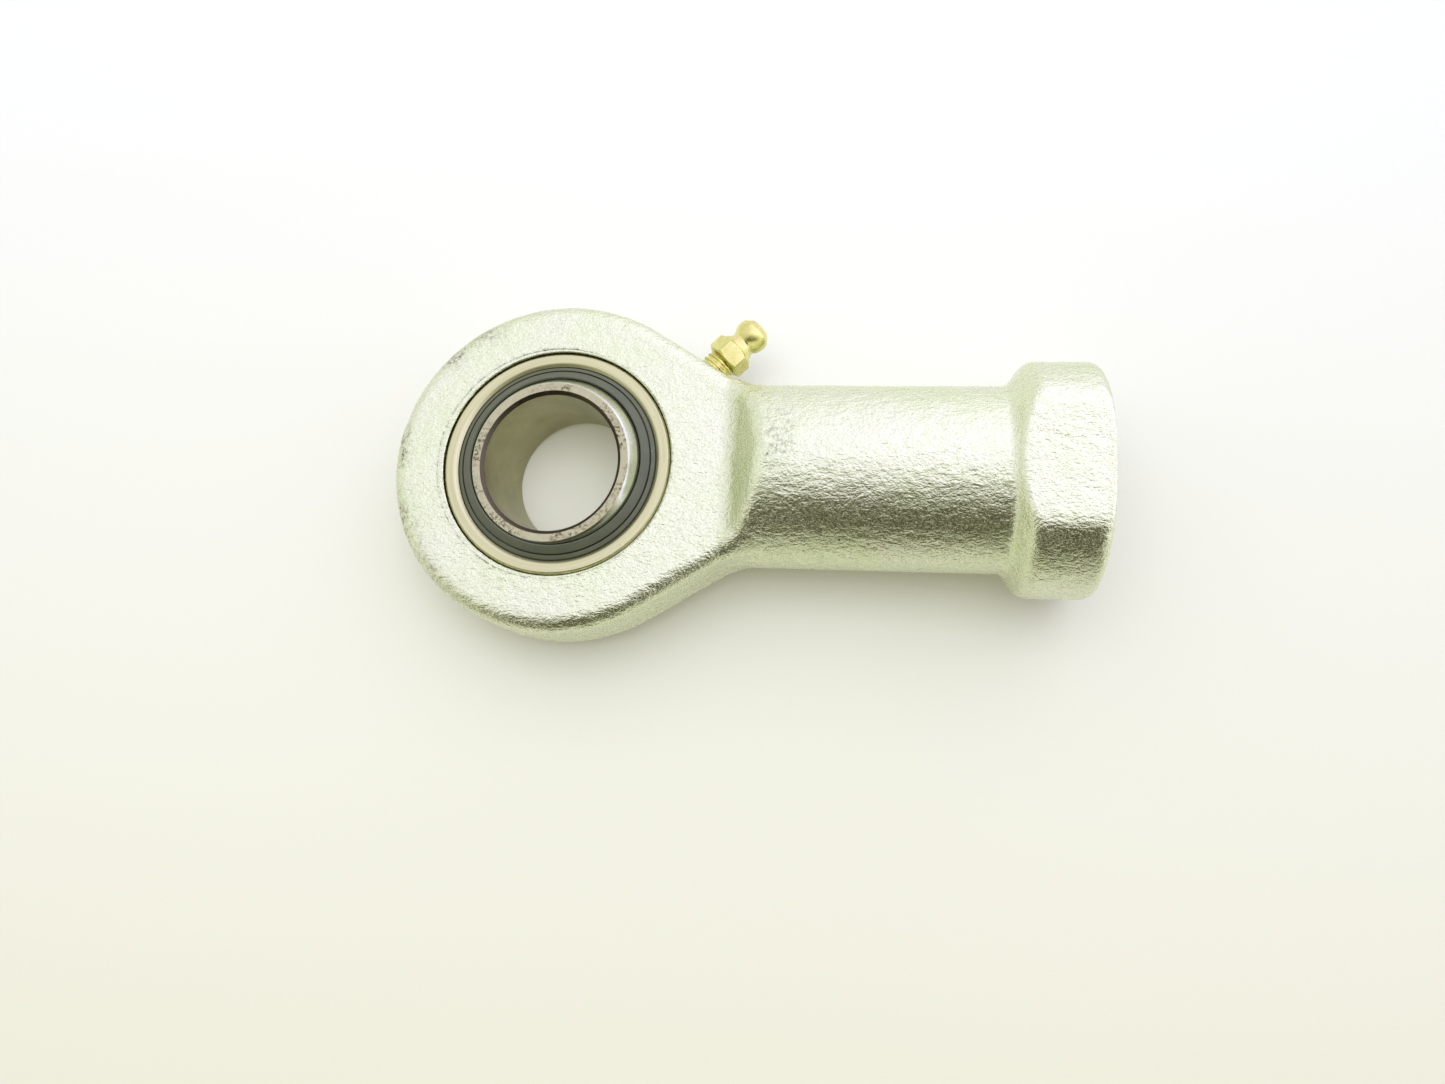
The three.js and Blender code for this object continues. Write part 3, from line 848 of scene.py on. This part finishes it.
def honed_bore():
    """The bore: honed, olive-grey, with faint lines that run round it."""
    finish, tree, shader = new_finish("honed_bore", 1.0, 0.34, (0.50, 0.48, 0.38))
    lines = turned_lines(tree, 6.0, 22.0)
    cloud = noise(tree, place(tree), 160, 3, 0.6)
    color = blend_color(tree, span(tree, cloud, 0.35, 0.7), (0.41, 0.395, 0.225), (0.325, 0.31, 0.17))
    finish_with(tree, shader, color, span(tree, lines, 0.3, 0.7, 0.3, 0.42), relief(tree, lines, 0.012))
    return finish


def seal_rubber():
    """Dark grey-green polyurethane with a fine moulded skin and a little dust."""
    finish, tree, shader = new_finish("seal_rubber", 0.0, 0.45, (0.045, 0.055, 0.048))
    at = place(tree)
    skin = noise(tree, at, 2600, 3, 0.6)
    dust = span(tree, noise(tree, at, 800, 4, 0.75), 0.66, 0.75, 0.0, 0.5)
    color = blend_color(tree, noise(tree, at, 260, 2, 0.6), (0.049, 0.056, 0.032), (0.076, 0.083, 0.047))
    color = blend_color(tree, dust, color, (0.30, 0.30, 0.26))
    finish_with(tree, shader, color, span(tree, skin, 0.3, 0.7, 0.36, 0.55), relief(tree, skin, 0.02))
    return finish


def yellow_passivate():
    """Yellow passivated zinc: gold, with copper and green tints in clouds and fine tool lines."""
    finish, tree, shader = new_finish("yellow_passivate", 1.0, 0.28, (0.85, 0.72, 0.34))
    at = place(tree)
    cloud = noise(tree, at, 360, 3, 0.6)
    color = blend_color(tree, span(tree, cloud, 0.4, 0.6), (0.80, 0.76, 0.315), (0.69, 0.65, 0.225))
    tint = span(tree, noise(tree, at, 520, 2, 0.5), 0.56, 0.68, 0.0, 0.35)
    color = blend_color(tree, tint, color, (0.64, 0.45, 0.22))
    dark = span(tree, noise(tree, at, 1500, 4, 0.7), 0.66, 0.74, 0.0, 0.5)
    color = blend_color(tree, dark, color, (0.32, 0.25, 0.14))
    fine = noise(tree, at, 2900, 3, 0.6)
    finish_with(tree, shader, color, span(tree, fine, 0.3, 0.7, 0.22, 0.36), relief(tree, fine, 0.02))
    return finish


def spring_wire():
    """Drawn wire, dull silver with a fine mottle."""
    finish, tree, shader = new_finish("drawn_spring_wire", 1.0, 0.3, (0.55, 0.55, 0.54))
    lines = noise(tree, place(tree), 4200, 2, 0.6)
    color = blend_color(tree, lines, (0.60, 0.60, 0.58), (0.42, 0.42, 0.41))
    finish_with(tree, shader, color, span(tree, lines, 0.3, 0.7, 0.25, 0.4))
    return finish


def polished_ball():
    """A hardened ball, polished, with a thin film of grease."""
    finish, tree, shader = new_finish("polished_ball", 1.0, 0.12, (0.8, 0.8, 0.8))
    film = noise(tree, place(tree), 1800, 2, 0.6)
    color = blend_color(tree, film, (0.84, 0.84, 0.83), (0.66, 0.66, 0.62))
    finish_with(tree, shader, color, span(tree, film, 0.3, 0.7, 0.08, 0.2))
    return finish


# ---- the object ----
def attach(piece, body, slot, *nodes):
    """The piece rides on a body and stands for its CAD nodes; slot is not used."""
    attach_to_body(piece, body)
    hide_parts(*nodes)


attach(housing(), "housing", "zinc_plated_forging", "housing")
attach(outer_ring(), "housing", "outer_ring_steel", "outer_ring")
attach(inner_ring(), "ball", "inner_ring_steel", "inner_ring")
attach(seal("front_lip_seal", 1), "seals", "seal_rubber", "front_seal")
attach(seal("back_lip_seal", -1), "seals", "seal_rubber", "back_seal")
attach(nipple_body(), "housing", "yellow_passivated_steel", "nipple_body")
spring = smooth(nipple_spring(), 60)
spring.data.materials.append(spring_wire())
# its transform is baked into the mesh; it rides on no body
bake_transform(spring)
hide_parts("nipple_spring")
ball = smooth(check_ball())
ball.data.materials.append(polished_ball())
attach(ball, "check_ball", "check_ball_steel", "nipple_check_ball")


# ---- floor, light and camera ----
def table_top():
    """A round pale table top under the part, through a point by the ball's lower rim and
    leaning a little in the part's own frame. It isn't a true resting plane: the underside of
    the shank dips about 2 mm below it, and the ball's rim half a millimetre."""
    normal = Vector((0.080, -0.062, 1.0)).normalized()
    rest = Vector(BALL_CENTRE) + Vector((-9.1, -10.2, -11.35)) * MM
    radius, front_edge, rings, columns = 0.6, 0.19, 24, 96
    angle = np.linspace(0, 2 * np.pi, columns, endpoint=False)
    r = radius * np.linspace(1, 0.01, rings)[:, None]
    points = np.stack([r * np.cos(angle), r * np.sin(angle), 0 * r * angle], -1).reshape(-1, 3)
    turn = np.array(normal.to_track_quat("Z", "Y").to_matrix())
    foot = np.array([BALL_CENTRE[0] / 2, radius - front_edge, 0])
    drop = (foot - np.array(rest)) @ np.array(normal) / normal.z
    vertices = points @ turn.T + foot - [0, 0, drop]
    quads = grid_faces(rings, columns)
    middle = np.arange(columns) + (rings - 1) * columns
    mesh = bpy.data.meshes.new("table_top")
    mesh.from_pydata(vertices.tolist(), [], quads[:, ::-1].tolist() + [middle.tolist()])
    floor = bpy.data.objects.new("table_top", mesh)
    bpy.context.scene.collection.objects.link(floor)
    finish, tree, shader = new_finish("pale_table", 0.0, 0.6, (0.43, 0.43, 0.38))
    at = place(tree)
    # painted light: the table is darker and yellower towards the front (-Y) and paler and bluer towards
    # the back, standing in for the light falling off towards the front
    depth = node(tree, "ShaderNodeSeparateXYZ", {"Vector": at}).outputs["Y"]
    painted_dim_front, back = (0.392, 0.398, 0.312), (0.437, 0.452, 0.452)
    color = blend_color(tree, span(tree, depth, -0.13, 0.10), painted_dim_front, back)
    cloud = noise(tree, at, 9, 2, 0.5)
    color = blend_color(tree, calc(tree, "MULTIPLY", cloud, 0.06), color, (0.35, 0.34, 0.29))
    finish_with(tree, shader, color)
    shader.inputs["Emission Color"].default_value = (1.0, 0.965, 0.58, 1)
    shader.inputs["Emission Strength"].default_value = 0.17
    mesh.materials.append(finish)


def soft_box(name, place_mm, aim_mm, width, height, power):
    """A rectangular lamp, width by height in metres, left out of the metal's reflections."""
    light = bpy.data.lights.new(name, "AREA")
    light.shape = "RECTANGLE"
    light.size, light.size_y = width, height
    light.energy = power
    lamp = bpy.data.objects.new(name, light)
    lamp.location = Vector(place_mm) * MM
    lamp.rotation_mode = "QUATERNION"
    lamp.rotation_quaternion = (Vector(place_mm) - Vector(aim_mm)).to_track_quat("Z", "Y")
    lamp.visible_glossy = False
    bpy.context.scene.collection.objects.link(lamp)


def room():
    """A pale room, brightest towards +X, with one dark patch in front of the part that has
    a warm edge. The camera itself sees a plain pale backdrop."""
    world = bpy.data.worlds.new("room")
    bpy.context.scene.world = world
    world.use_nodes = True
    tree = world.node_tree
    toward = node(tree, "ShaderNodeTexCoord").outputs["Generated"]
    apart = node(tree, "ShaderNodeSeparateXYZ", {"Vector": toward}).outputs
    low, high, bright_side = (0.87, 0.865, 0.82), (1.15, 1.13, 1.34), (1.50, 1.44, 1.90)
    color = blend_color(tree, span(tree, apart["Z"], 0.1, 0.8), low, high)
    color = blend_color(tree, span(tree, apart["X"], -0.3, 0.25), color, bright_side)
    dark_centre = (0.0, -0.978, 0.208)
    dark_side = node(tree, "ShaderNodeVectorMath", {0: toward, 1: dark_centre},
                     operation="DOT_PRODUCT").outputs["Value"]
    warm_edge, dark = (1.0, 0.98, 0.80), (0.075, 0.070, 0.038)
    color = blend_color(tree, span(tree, dark_side, 0.30, 0.55), color, warm_edge)
    color = blend_color(tree, span(tree, dark_side, 0.42, 0.82), color, dark)
    seen = node(tree, "ShaderNodeLightPath").outputs["Is Camera Ray"]
    color = blend_color(tree, seen, color, (0.95, 0.94, 0.88))
    tree.links.new(color, tree.nodes["Background"].inputs["Color"])


def camera():
    """Looks down steeply from the -Y side, leaning a little towards +X."""
    right = Vector((0.9919, 0.0510, -0.1161)).normalized()
    back = Vector((0.1247, -0.2250, 0.9663)).normalized()
    up = back.cross(right).normalized()
    right = up.cross(back)
    data = bpy.data.cameras.new("camera")
    data.lens, data.sensor_width = 26.04, 36.0
    data.clip_start, data.clip_end = 0.01, 20
    cam = bpy.data.objects.new("camera", data)
    at = Vector(BALL_CENTRE) + Vector((53.67, -55.06, 183.26)) * MM
    turn = Matrix((right, up, back)).transposed()
    cam.matrix_world = Matrix.Translation(at) @ turn.to_4x4()
    bpy.context.scene.collection.objects.link(cam)
    bpy.context.scene.camera = cam


table_top()
room()
soft_box("behind", (-50, 260, 620), (-50, 0, 0), 1.3, 0.66, 2.9)
soft_box("overhead", (-50, 20, 640), (-50, 0, 0), 0.5, 0.4, 2.6)
camera()
bpy.context.scene.view_settings.view_transform = "Standard"
